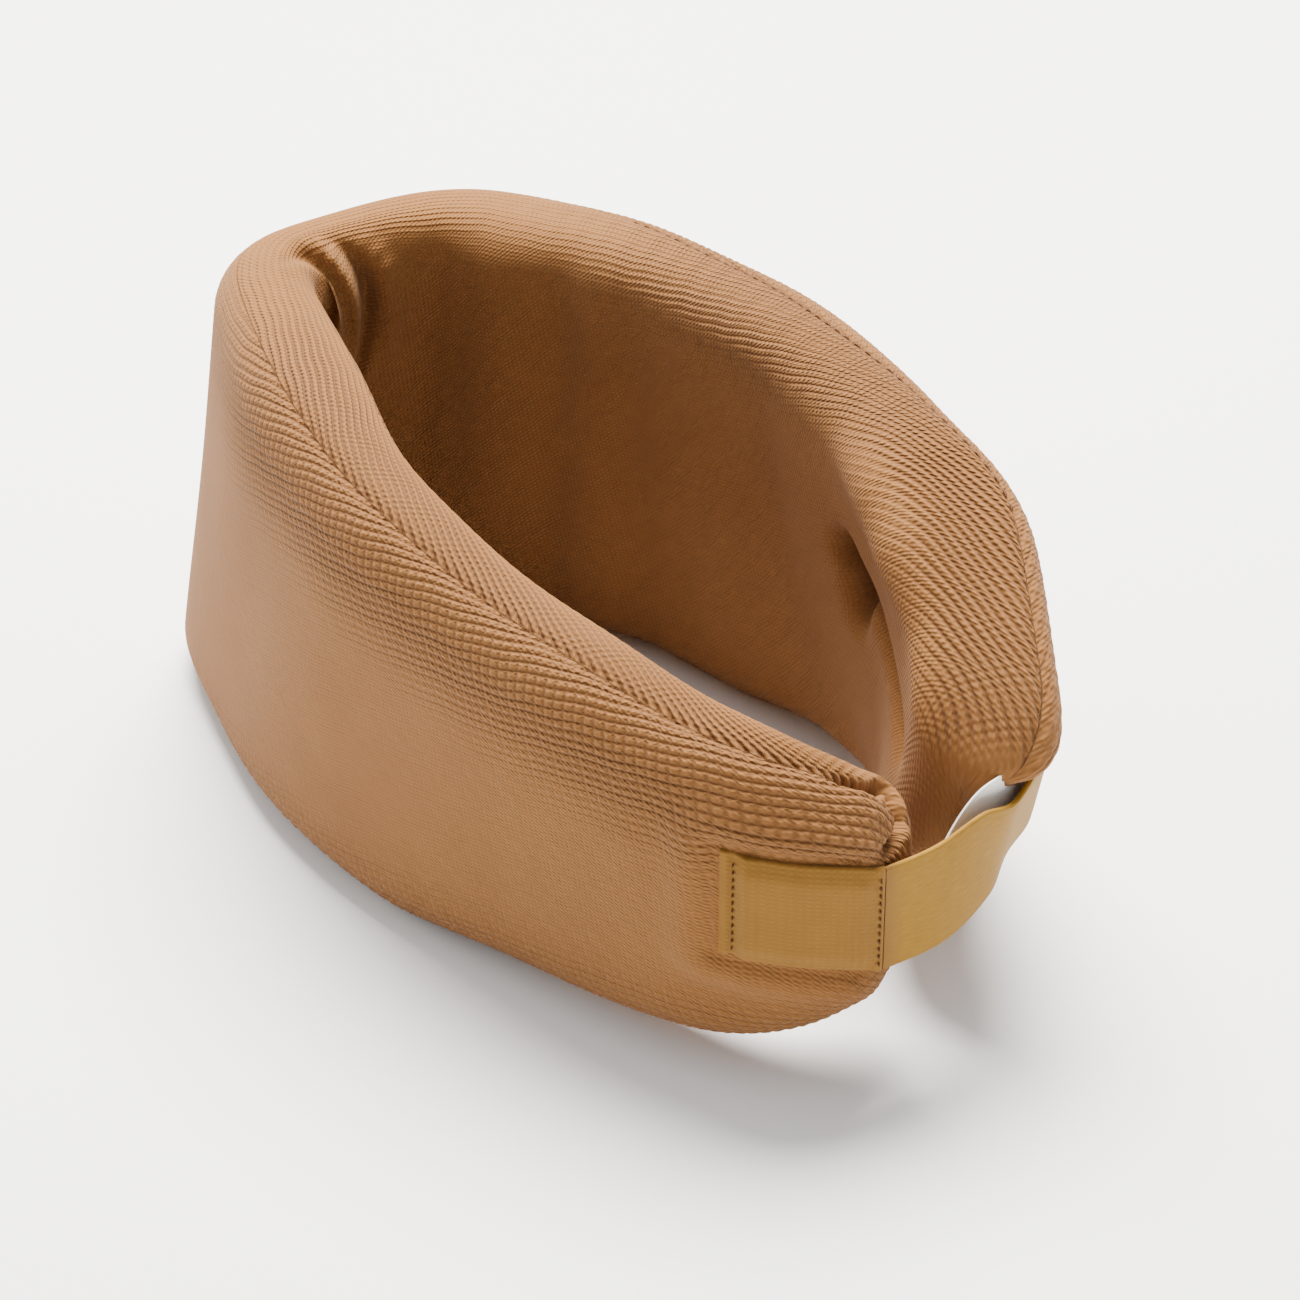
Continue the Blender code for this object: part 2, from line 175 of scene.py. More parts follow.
# The knit's relief, how folds pucker it, and the crease depth at which their painted shade is darkest
RIB_PITCH = 0.0016
ROW_PITCH = 0.00175
COLUMN_PITCH = 0.0021
CELL_COLUMN_PITCH = 0.00125
PUCKER = 0.22
CREASE_SHADE_DEPTH = 0.0050
RIB_SHARPNESS = 1.6
CELL_SHARPNESS = 2.0
RIB_DEPTH = 0.00050
CELL_DEPTH = 0.00014
ROW_DEPTH = 0.00036

# The camera's view
CAMERA_TARGET = (0.0099, 0.0193, 0.0491)
CAMERA_DISTANCE = 0.8388
CAMERA_AZIMUTH = math.radians(45)
CAMERA_ELEVATION = math.radians(33.84)
CAMERA_LENS = 121.25
CAMERA_SENSOR = 36

# The floor, the surround, and the lights: name, place, size, power and colour
FLOOR_HALF = 4
FLOOR_GAP = 0.0004
WORLD_COLOUR = (0.97, 0.985, 1.0)
WORLD_STRENGTH = 0.9
LIGHT_TARGET = (0, 0, 0.05)
LIGHTS = (
    ("key", (-0.27, -0.30, 0.95), 0.75, 69, (1.0, 0.97, 0.93)),
    ("fill", (1.0, 0.45, 0.9), 0.8, 1.0, (1, 1, 1)),
    ("rim", (0.5, -1.2, 0.5), 0.5, 5, (1, 1, 1)),
)


def catmull_rom(points, count):
    """A smooth curve through the points, with count samples."""
    points = np.asarray(points, float)
    ends = (2 * points[0] - points[1], 2 * points[-1] - points[-2])
    padded = np.vstack([ends[0], points, ends[1]])
    t = np.linspace(0, len(points) - 1, count)
    i = np.minimum(t.astype(int), len(points) - 2)
    f = (t - i)[:, None]
    a, b, c, d = (padded[i + k] for k in range(4))
    cubic = -a + 3 * b - 3 * c + d
    square = 2 * a - 5 * b + 4 * c - d
    return 0.5 * (2 * b + (c - a) * f + square * f**2 + cubic * f**3)


def quarter_round(distance, radius):
    """0 at the edge and 1 from a radius inwards, along a quarter circle."""
    share = np.clip(np.asarray(distance, float) / radius, 0.0, 1.0)
    return np.sqrt(1 - (1 - share) ** 2)


def smooth(low, high, value):
    """0 below low, 1 above high, and a smooth step between."""
    share = np.clip((np.asarray(value, float) - low) / (high - low), 0.0, 1.0)
    return share * share * (3 - 2 * share)


def hump(value, width):
    """1 where the value is 0, and almost nothing at twice the width."""
    return np.exp(-((value / width) ** 2))


def unit(vectors):
    """The vectors at length 1."""
    return vectors / np.maximum(np.linalg.norm(vectors, axis=-1, keepdims=True), 1e-12)


LINE = catmull_rom(PLAN, LINE_POINTS)
ALONG = np.concatenate([[0.0], np.cumsum(np.linalg.norm(np.diff(LINE, axis=0), axis=1))])
LENGTH = ALONG[-1]
CHIN = ALONG[np.argmin(LINE[:, 1])]
SHARE = np.linspace(0, LENGTH, LINE_POINTS)
TOP = catmull_rom([[height] for height in TOP_EDGE], LINE_POINTS)[:, 0]
SLOPES = catmull_rom([[slope] for slope in LEAN], LINE_POINTS)[:, 0]


def centre(s):
    """Plan position of the wall's centreline."""
    return np.stack([np.interp(s, ALONG, LINE[:, k]) for k in (0, 1)], axis=-1)


def outward(s):
    """Plan direction out of the ring."""
    reach = LENGTH / LINE_POINTS
    run = unit(centre(np.minimum(s + reach, LENGTH)) - centre(np.maximum(s - reach, 0.0)))
    return np.stack([-run[..., 1], run[..., 0]], axis=-1)


def edges(s):
    """Heights of the wall's bottom and top edges."""
    top = np.interp(s, SHARE, TOP)
    before = np.maximum((BOTTOM_FLAT[0] - s) / BOTTOM_FLAT[0], 0.0)
    after = np.maximum((s - BOTTOM_FLAT[1]) / (LENGTH - BOTTOM_FLAT[1]), 0.0)
    return BOTTOM_RISE[0] * before + BOTTOM_RISE[1] * after, top


def half_sizes(s):
    """Half the wall's thickness and half its height, both smaller at the rounded ends."""
    left = np.minimum(s, LENGTH - s)
    thick = END_THICKNESS + (1 - END_THICKNESS) * quarter_round(left, THICKNESS / 2)
    tall = END_HEIGHT + (1 - END_HEIGHT) * quarter_round(left, END_ROUND)
    bottom, top = edges(s)
    return THICKNESS / 2 * thick, (top - bottom) / 2 * tall


def wall_point(s, out, z):
    """World positions of places on the wall; the arguments are numbers or arrays of one shape."""
    s, out, z = np.broadcast_arrays(np.asarray(s, float), out, z)
    middle = centre(s)
    inward = unit(np.array(LEAN_CENTRE) - middle)
    slope = np.interp(s, SHARE, SLOPES)
    pinch = hump(s - CHIN, CHIN_PINCH_LENGTH) * CHIN_PINCH / (THICKNESS / 2)
    out = np.where(out < 0, out * (1 - pinch), out)
    below = TUCK_HEIGHT - z
    soft = (below + np.hypot(below, TUCK_BLEND)) / 2
    share = np.clip((s - LENGTH) / TUCK_LENGTH + 1, 0.0, 1.0)
    shift = slope * (z - LEAN_HEIGHT) + TUCK * share**2 * (3 - 2 * share) * soft
    spot = middle + inward * shift[..., None] + outward(s) * out[..., None]
    return np.concatenate([spot, z[..., None]], axis=-1)


def outer_face(s, z):
    """How far the cover's outer face stands from the centreline at a height."""
    half_thick, half_tall = half_sizes(s)
    radius = CORNER * half_thick
    above = np.abs(z - sum(edges(s)) / 2) - (half_tall - radius)
    rounded = np.sqrt(np.maximum(radius**2 - np.maximum(above, 0) ** 2, 0.0))
    return half_thick - radius + rounded


def on_section(s, degrees):
    """A place on the cover at a section angle: 0 faces out, 90 up, 180 in."""
    half_thick, half_tall = half_sizes(s)
    radius = CORNER * half_thick
    turn = math.radians(degrees)
    out = math.copysign(half_thick - radius, math.cos(turn)) + radius * math.cos(turn)
    up = math.copysign(half_tall - radius, math.sin(turn)) + radius * math.sin(turn)
    return wall_point(s, out, sum(edges(s)) / 2 + up)


def on_wall(s, z, outer=True):
    """A place on the cover's upright face at a height."""
    out = outer_face(s, z)
    return wall_point(s, out if outer else -out, z)


def cover_line(over, down, outer=False):
    """A line of places on the cover: over its top at section angles, then on a face at heights."""
    return [on_section(*place) for place in over] + [on_wall(*place, outer) for place in down]


def base_middle(s):
    """The height of the middle of the strap's base."""
    return np.interp(s, BASE, BASE_HEIGHTS)


def strap_middle(tip):
    """The height of the strap's middle, at a distance from the right limb's end."""
    return np.interp(tip, (0.0, *TIP_STATIONS), (LIMB_END_STRAP_HEIGHT, *TIP_HEIGHTS))


def section_outline(radius, flat_out, flat_up):
    """The section's outline from its outermost place over the top, and the length up to each point."""
    turns = np.linspace(0, math.pi / 2, CORNER_POINTS)
    corner = radius * np.stack([np.cos(turns), np.sin(turns)])
    corners = [
        corner + [[flat_out], [flat_up]],
        corner[::-1] * [[-1], [1]] + [[-flat_out], [flat_up]],
        -corner - [[flat_out], [flat_up]],
        corner[::-1] * [[1], [-1]] + [[flat_out], [-flat_up]],
    ]
    line = np.concatenate([*corners, corners[0][:, :1]], axis=1)
    arc = np.concatenate([[0], np.cumsum(np.hypot(*np.diff(line, axis=1)))])
    return line, arc


class Cover:
    """The cover's surface as a grid: stations along the wall by rows round the section.

    w is a point's distance from the top seam, bottom its distance from the bottom seam, crest its
    distance out from the wall's crest, and end its distance from the nearer limb's end.
    """

    def __init__(self):
        self.stations = self.place_stations()
        self.side, self.band, self.share = self.place_rows()
        self.s = np.repeat(self.stations[:, None], len(self.side), axis=1)
        self.outer = self.side[None, :] > 0
        self.end = np.minimum(self.s, LENGTH - self.s)
        self.build()

    @staticmethod
    def place_stations():
        """Even steps along the wall, and ever smaller ones round its two ends."""
        end = THICKNESS / 2
        turns = np.linspace(0, math.pi / 2, END_STATIONS)[:-1]
        near = end * (1 - np.cos(turns))
        count = int((LENGTH - 2 * end) / STATION_STEP)
        middle = np.linspace(end, LENGTH - end, count)
        return np.concatenate([near, middle, (LENGTH - near)[::-1]])

    @staticmethod
    def place_rows():
        """For each row: its side, which stretch of the section it is in, and its share of it."""
        rows = []
        for side, band, count in (
            (1, 0, OUTER_BAND_ROWS),
            (1, 1, OUTER_ROWS),
            (-1, 2, INNER_ROWS),
            (-1, 3, INNER_BAND_ROWS),
        ):
            shares = np.arange(count) / count
            if side < 0:
                shares = 1 - shares
            rows += [(side, band, share) for share in shares]
        return np.array(rows).T

    def build(self):
        """Places every point, with its distances from the top seam, the bottom seam and the crest."""
        shape = self.s.shape
        self.w, self.bottom, self.crest, out, up = (np.zeros(shape) for _ in range(5))
        for i, s in enumerate(self.stations):
            half_thick, half_tall = half_sizes(s)
            radius = CORNER * half_thick
            line, arc = section_outline(radius, half_thick - radius, half_tall - radius)
            dip = hump(s - CHIN, TOP_SEAM_DIP_LENGTH)
            turn = float(RIGHT_SEAM_TURN * smooth(*RIGHT_SEAM_SPAN, s))
            seam = radius * (TOP_SEAM - TOP_SEAM_DIP * dip - turn)
            down = seam + 2 * (half_tall - radius) + radius * BOTTOM_SEAM
            around = arc[-1] - down
            self.w[i] = self.row_distances(down, around)
            self.bottom[i] = np.where(self.side > 0, down, around) - self.w[i]
            self.crest[i] = self.side * self.w[i] + radius * turn
            place = (seam - self.side * self.w[i]) % arc[-1]
            out[i] = np.interp(place, arc, line[0])
            up[i] = np.interp(place, arc, line[1])
        self.z = sum(edges(self.s)) / 2 + up
        self.rest = wall_point(self.s, out, self.z)
        self.normal = grid_normals(self.rest)
        self.points = self.rest.copy()

    def row_distances(self, down, around):
        """Each row's distance from the top seam; down and around are the panels' heights."""
        outer = min(OUTER_BAND, 0.45 * down)
        inner = min(INNER_BAND, 0.3 * around)
        return np.select(
            [self.band == 0, self.band == 1, self.band == 2],
            [
                self.share * outer,
                outer + self.share * (down - outer),
                inner + self.share * (around - inner),
            ],
            self.share * inner,
        )

    def move(self, amount):
        """Moves the points out along the surface's normals."""
        self.points = self.points + self.normal * amount[..., None]


def grid_normals(points):
    """Normals of a grid of rings."""
    along = np.gradient(points, axis=0)
    around = np.roll(points, -1, axis=1) - np.roll(points, 1, axis=1)
    return unit(np.cross(along, around))


def distance_to(points, path):
    """The distance of each point from a line, and how far along the line its nearest place is, 0 to 1."""
    path = np.asarray(path, float)
    lengths = np.linalg.norm(np.diff(path, axis=0), axis=1)
    starts = np.concatenate([[0], np.cumsum(lengths)])
    best = np.full(points.shape[:-1], np.inf)
    share = np.zeros(points.shape[:-1])
    for a, b, start, length in zip(path, path[1:], starts, lengths):
        t = np.clip(((points - a) @ (b - a)) / length**2, 0, 1)
        gap = np.linalg.norm(points - (a + t[..., None] * (b - a)), axis=-1)
        closer = gap < best
        best = np.where(closer, gap, best)
        share = np.where(closer, (start + t * length) / starts[-1], share)
    return best, share


def stroke(cover, places, width, depth, fades=(0.3, 0.3), puckers=0):
    """A crease (depth below 0) or a fold along a line of places, with small puckers across it."""
    path = catmull_rom(places, 8 * len(places))
    middle = path.mean(axis=0)
    reach = np.linalg.norm(path - middle, axis=1).max() + 3 * width
    near = np.linalg.norm(cover.rest - middle, axis=-1) < reach
    gap, share = distance_to(cover.rest[near], path)
    fade = smooth(0, fades[0], share) * smooth(0, fades[1], 1 - share)
    wrinkle = 1 + PUCKER * np.sin(2 * math.pi * puckers * share)
    height = np.zeros(near.shape)
    height[near] = depth * fade * wrinkle * hump(gap, width)
    return height


def running(slopes):
    """The integral along the wall of a slope given at distances from the left end."""
    stations, values = zip(*slopes)
    s = np.linspace(0, LENGTH, 800)
    steps = np.interp(s, stations, values)
    return s, np.concatenate([[0], np.cumsum((steps[1:] + steps[:-1]) / 2 * np.diff(s))])


# How fast the knit's rows drift towards the top seam, in the outer and in the inner panel
OUTER_DRIFT = running(
    ((0.0, 0.12), (0.03, 0.18), (0.06, 0.34), (0.10, 0.42), (0.15, 0.44), (0.19, 0.0),
     (0.23, 0.0), (0.30, -0.20), (0.38, -0.35), (0.435, -0.5))
)
INNER_DRIFT = running(
    ((0.0, 0.62), (0.06, 0.57), (0.10, 0.54), (0.13, 0.38), (0.155, 0.16), (0.185, 0.0),
     (0.23, 0.0), (0.30, -0.20), (0.38, -0.41), (0.41, -0.62), (0.435, -0.72))
)
# How far the inner rows still step across the section where they turn, near the right limb's end
INNER_ACROSS = ((0.0, 0.30, 0.38, 0.41, 0.435), (1.0, 1.0, 0.91, 0.78, 0.69))


def knit_rows(cover):
    """The row and column coordinates of the knit, in metres, with a hand-made unevenness."""
    outer = cover.outer
    drift = np.where(outer, np.interp(cover.s, *OUTER_DRIFT), np.interp(cover.s, *INNER_DRIFT))
    column = cover.s + 0.25 * cover.w * np.where(outer, 1, -1)
    wobble = 0.00013 * np.sin(column * 210) + 0.00009 * np.sin(column * 533 + 1.3)
    across = np.where(outer, 1.0, np.interp(cover.s, *INNER_ACROSS))
    return across * cover.w - drift + wobble, column


def groove(value, pitch, sharpness):
    """1 in the narrow groove at each whole pitch, 0 on the ribs between."""
    return (0.5 + 0.5 * np.cos(2 * math.pi * value / pitch)) ** sharpness


def knit_strength(cover):
    """How deep the knit shows: most near the seams, faint on the broad wall and round the chin."""
    outer, end = cover.outer, cover.end
    chin = smooth(0.150, 0.190, cover.s) * (1 - smooth(0.255, 0.315, cover.s))
    lip = ~outer & (cover.s < CHIN)
    inside = smooth(0.006, 0.013, end)
    rim = inside + (1 - inside) * np.where(lip, 0.25, 1.0)
    near_top = 1 - np.where(outer, smooth(0.013, 0.034, cover.w), smooth(0.013, 0.028, cover.w))
    near_top = near_top * (1 - 0.55 * outer * smooth(0.300, 0.345, cover.s))
    near_bottom = 0.8 * (1 - smooth(0.006, 0.022, cover.bottom))
    strength = 0.12 + 0.88 * np.maximum(near_top, near_bottom)
    return strength * rim * (1 - 0.72 * chin) * smooth(0.0, 0.004, end)


def knit_relief(cover):
    """The height of ribs and stitch cells: 0 on their tops, and the knit's depth in the deepest grooves."""
    row, column = knit_rows(cover)
    columns = groove(column, COLUMN_PITCH, CELL_SHARPNESS)
    cells = np.maximum(groove(row, ROW_PITCH, CELL_SHARPNESS), 0.7 * columns)
    ribs = groove(row, RIB_PITCH, RIB_SHARPNESS)
    rib_depth = (1 - cover.turned) * RIB_DEPTH + cover.turned * CELL_DEPTH
    return -np.where(cover.outer, cells * ROW_DEPTH, ribs * rib_depth)


def seam_line(cover):
    """The groove where the panels meet: soft on the left limb, cut in on the right."""
    right = smooth(CHIN + 0.03, CHIN + 0.08, cover.s)
    left = 1 - smooth(CHIN - 0.07, CHIN - 0.03, cover.s)
    cut = hump(cover.w, 0.0011)
    puff = hump(cover.w - 0.004, 0.0030)
    top = -cut * (0.0007 * left + 0.0005 * right) + puff * (0.0004 * left + 0.0002 * right)
    low = hump(cover.bottom, 0.0012)
    return top - 0.0008 * low


def chin_folds(cover):
    """The buckled inside of the chin: bulges that run over its top, and the deep groove between them."""
    swell = cover_line(
        ((0.197, 125), (0.204, 152)),
        ((0.2090, 0.0900), (0.2120, 0.0810), (0.2130, 0.0690), (0.2130, 0.0560)),
    )
    left_bulge = cover_line(
        ((0.186, 100), (0.195, 128), (0.2015, 158)),
        ((0.2062, 0.0905), (0.2090, 0.0845), (0.2110, 0.0770), (0.2115, 0.0680)),
    )
    hollow = cover_line(
        ((0.191, 88), (0.199, 118), (0.2060, 150)),
        ((0.2112, 0.0912), (0.2137, 0.0845), (0.2148, 0.0760)),
    )
    middle_bulge = cover_line(
        ((0.200, 92), (0.2065, 120), (0.2110, 152)),
        ((0.2150, 0.0900), (0.2168, 0.0820), (0.2172, 0.0720)),
    )
    deep = cover_line(
        ((0.2080, 92), (0.2125, 126), (0.2170, 158)),
        ((0.2205, 0.0888), (0.2215, 0.0820), (0.2215, 0.0740), (0.2205, 0.0640), (0.2200, 0.0480)),
    )
    right_bulge = cover_line(
        ((0.2160, 108), (0.2205, 142)),
        ((0.2250, 0.0920), (0.2268, 0.0850), (0.2278, 0.0760), (0.2278, 0.0640)),
    )
    return (
        stroke(cover, swell, 0.0075, 0.0055, (0.3, 0.45))
        + stroke(cover, left_bulge, 0.0042, 0.0024, (0.35, 0.45))
        + stroke(cover, hollow, 0.0020, -0.0022, (0.35, 0.3))
        + stroke(cover, middle_bulge, 0.0026, 0.0022, (0.3, 0.25), 13)
        + stroke(cover, deep, 0.0015, -0.0033, (0.3, 0.5))
        + stroke(cover, right_bulge, 0.0026, 0.0020, (0.35, 0.4), 12)
    )


def right_limb_folds(cover):
    """The hollow and the long diagonal fold inside the right limb, and soft swells of its inner wall."""
    hollow = cover_line(
        (), ((0.3650, 0.0705), (0.3705, 0.0665), (0.3742, 0.0625), (0.3738, 0.0560), (0.3730, 0.0470))
    )
    long_fold = cover_line(
        (), ((0.3700, 0.0660), (0.3830, 0.0620), (0.3980, 0.0560), (0.4150, 0.0520), (0.4270, 0.0470))
    )
    shoulder = cover_line(((0.368, 150), (0.385, 152), (0.402, 158), (0.418, 164)), ())
    total = stroke(cover, hollow, 0.0040, -0.0088, (0.3, 0.5))
    total += stroke(cover, long_fold, 0.0032, -0.0046, (0.2, 0.3))
    total += stroke(cover, shoulder, 0.0075, 0.0034, (0.4, 0.4))
    inner = ~cover.outer * smooth(0.010, 0.030, cover.w)
    for station, width, height in INNER_SWELLS:
        total += inner * height * hump(cover.s - station, width)
    return total


def left_end(cover):
    """The turned end of the outer panel: a curved gap, darkened with painted shade, with the inner panel's
    lip beyond it.
    """
    gap_line = cover_line(
        ((0.0165, 80), (0.0115, 83), (0.0076, 90), (0.0049, 92), (0.0033, 88), (0.0024, 71),
         (0.0033, 43), (0.0056, 22)),
        ((0.0112, 0.0536),),
        outer=True,
    )
    lip_line = cover_line(
        ((0.0090, 104), (0.0040, 100), (0.0012, 70), (0.0008, 30)), ((0.0012, 0.0500),), outer=True
    )
    tongue_line = cover_line(((0.0150, 70), (0.0095, 58)), ((0.0080, 0.0570),), outer=True)
    gap = stroke(cover, gap_line, 0.0011, -0.0040, (0.25, 0.30))
    lip = stroke(cover, lip_line, 0.0022, 0.0010, (0.3, 0.3))
    tongue = stroke(cover, tongue_line, 0.0040, 0.0010, (0.4, 0.3))
    return gap + lip + tongue


def base_recess(cover):
    """The padded hollow round the strap's sewn base: its rim puffs up and the knit under it lies flat."""
    beyond_s = np.maximum(BASE[0] - cover.s, cover.s - BASE[1])
    beyond_z = np.abs(cover.z - base_middle(cover.s)) - TAPE_WIDTH / 2
    outside = np.hypot(np.maximum(beyond_s, 0), np.maximum(beyond_z, 0))
    outside = outside + np.minimum(np.maximum(beyond_s, beyond_z), 0)
    outer = cover.outer * (cover.s < BASE[1] + 0.03)
    rim = hump(outside - 0.0045, 0.0038)
    fold = hump(outside - 0.0012, 0.0009) * (cover.s > BASE[0] + 0.004)
    flat = 1 - smooth(-0.0010, 0.0012, outside)
    return outer * (0.0017 * rim * smooth(0.004, 0.014, cover.s) - 0.0004 * fold), outer * flat


def body_swell(cover):
    """The soft unevenness of hand-sewn foam."""
    broad = np.sin(cover.s * 61 + 0.7) * np.sin(cover.z * 47 + 1.1)
    fine = np.sin(cover.s * 133 + cover.z * 71)
    return BODY_UNEVENNESS * (broad + 0.6 * fine) * smooth(0.0, 0.02, cover.end)


def limb_end_bulge(cover):
    """The right limb's end, pressed out over the strap's upper edge."""
    tip = LENGTH - cover.s
    above = smooth(-0.0010, 0.0050, cover.z - strap_middle(tip) - TAPE_WIDTH / 2)
    near = (1 - smooth(0.035, 0.065, tip)) * smooth(0.0, 0.0090, cover.crest)
    return LIMB_END_BULGE * above * near


def stretch_limb_end(cover):
    """Draws the top of the right limb's end forward and down, over the label's root."""
    run = unit(np.append(centre(LENGTH) - centre(LENGTH - 0.002), 0.0))
    amount = (1 - smooth(0.0, 0.030, LENGTH - cover.s)) * smooth(0.046, 0.060, cover.z)
    amount = amount * smooth(-0.012, 0.004, cover.crest)
    cover.points = cover.points + amount[..., None] * LIMB_END_PULL * run


def under_strap(cover):
    """1 where the strap and the loop tape lie on the right limb."""
    tip = LENGTH - cover.s
    across = np.abs(cover.z - strap_middle(tip))
    return cover.outer * (1 - smooth(0.080, 0.086, tip)) * (1 - smooth(0.0125, 0.0145, across))


def knit_cover():
    """The whole cover, shaped in two steps: its swells and folds first, and then the knit on them."""
    cover = Cover()
    rim, flat = base_recess(cover)
    tape = under_strap(cover)
    cover.strength = knit_strength(cover) * (1 - np.maximum(flat, tape))
    folds = chin_folds(cover) + right_limb_folds(cover) + left_end(cover)
    # Painted shade in the creases: the deeper the crease, the darker its colour
    cover.shade = np.clip(-folds / CREASE_SHADE_DEPTH, 0.0, 1.0) ** 1.8
    right = smooth(CHIN + 0.05, CHIN + 0.09, cover.s) * (1 - smooth(0.380, 0.400, cover.s))
    # Painted shade along the groove of the right limb's top seam
    cover.shade = np.maximum(cover.shade, 0.8 * right * hump(cover.w, 0.0007))
    seams = seam_line(cover)
    cover.move(seams + folds + body_swell(cover) + rim - 0.0006 * tape + limb_end_bulge(cover))
    stretch_limb_end(cover)
    cover.normal = grid_normals(cover.points)
    cover.turned = smooth(0.236, 0.262, cover.s) * (1 - 0.75 * smooth(0.372, 0.394, cover.s))
    cover.move(knit_relief(cover) * cover.strength)
    cover.points[..., 2] = np.maximum(cover.points[..., 2], 0.0)
    cover.normal = grid_normals(cover.points)
    return cover


def add_mesh(name, points, faces, look, normals=None, uvs=None, floats=None):
    """A smooth mesh object; normals, uvs and the named floats have one value for each vertex."""
    mesh = bpy.data.meshes.new(name)
    mesh.from_pydata(points, [], faces)
    mesh.materials.append(look)
    if uvs is not None:
        layer = mesh.uv_layers.new(name="cloth")
        corner = np.zeros(len(mesh.loops), np.int32)
        mesh.loops.foreach_get("vertex_index", corner)
        layer.data.foreach_set("uv", np.asarray(uvs, np.float32)[corner].ravel())
    for key, values in (floats or {}).items():
        attribute = mesh.attributes.new(key, "FLOAT", "POINT")
        attribute.data.foreach_set("value", np.asarray(values, np.float32))
    mesh.shade_smooth()
    if normals is not None:
        mesh.normals_split_custom_set_from_vertices(normals)
    obj = bpy.data.objects.new(name, mesh)
    bpy.context.scene.collection.objects.link(obj)
    return obj


def grid_faces(count, rows, first=0):
    """Quads of a tube of count rings with rows points each."""
    i, j = np.meshgrid(np.arange(count - 1), np.arange(rows), indexing="ij")
    n = (j + 1) % rows
    quads = np.stack([i * rows + j, (i + 1) * rows + j, (i + 1) * rows + n, i * rows + n], axis=-1)
    return (quads.reshape(-1, 4) + first).tolist()


def end_faces(first, last, rows):
    """The end faces of a tube, from the indices at which its first and its last ring start."""
    return [list(range(first, first + rows)), list(range(last + rows - 1, last - 1, -1))]


def rounded_cap(ring, further_in):
    """Rings that close a limb's end in a low dome, away from a ring further in."""
    middle = ring.mean(axis=0)
    direction = unit(middle - further_in.mean(axis=0))
    rings = []
    for k in range(1, CAP_RINGS + 1):
        turn = math.pi / 2 * k / CAP_RINGS
        shrink = max(math.cos(turn), 0.02)
        rings.append(middle + (ring - middle) * shrink + direction * CAP_BULGE * math.sin(turn))
    return rings


def cover_piece(cover, name, first, last, look):
    """The part of the cover between two station indices, closed at both ends."""
    row, column = knit_rows(cover)
    outer = np.broadcast_to(cover.outer, cover.s.shape).astype(float)
    whole = (cover.points, cover.normal, column, row, cover.strength, outer, cover.turned, cover.shade)
    blocks = [block[first : last + 1] for block in whole]
    at_start, at_end = first == 0, last == len(cover.stations) - 1
    if at_start:
        blocks = extend(blocks, rounded_cap(blocks[0][0], blocks[0][3]), True)
    if at_end:
        blocks = extend(blocks, rounded_cap(blocks[0][-1], blocks[0][-4]), False)
    points, normals, u, v, strength, outer, turned, shade = blocks
    if at_start:
        normals[: CAP_RINGS + 2] = grid_normals(points)[: CAP_RINGS + 2]
    if at_end:
        normals[-CAP_RINGS - 2 :] = grid_normals(points)[-CAP_RINGS - 2 :]

    count, rows = points.shape[:2]
    base = count * rows
    faces = grid_faces(count, rows) + end_faces(base, base + rows, rows)
    middles = points.mean(axis=1)
    ends = [unit(middles[0] - middles[1]), unit(middles[-1] - middles[-2])]
    end_normals = (np.repeat(end[None], rows, axis=0) for end in ends)

    def with_ends(block):
        """The grid's values, and once more those of its first and last rings, for the end faces."""
        return np.concatenate([block.ravel(), block[0], block[-1]])

    return add_mesh(
        name,
        np.concatenate([points.reshape(-1, 3), points[0], points[-1]]),
        faces,
        look,
        np.concatenate([normals.reshape(-1, 3), *end_normals]),
        np.stack([with_ends(u), with_ends(v)], axis=-1) * 1000,
        {
            "strength": with_ends(strength),
            "outer": with_ends(outer),
            "turned": with_ends(turned),
            "shade": with_ends(shade),
        },
    )


def extend(blocks, rings, before):
    """Adds cap rings to the points, and repeats the other values of the end ring."""
    made = []
    for k, block in enumerate(blocks):
        edge = block[0] if before else block[-1]
        added = np.array(rings) if k == 0 else np.repeat(edge[None], len(rings), axis=0)
        if before:
            made.append(np.concatenate([added[::-1], block]))
        else:
            made.append(np.concatenate([block, added]))
    return made


# Materials


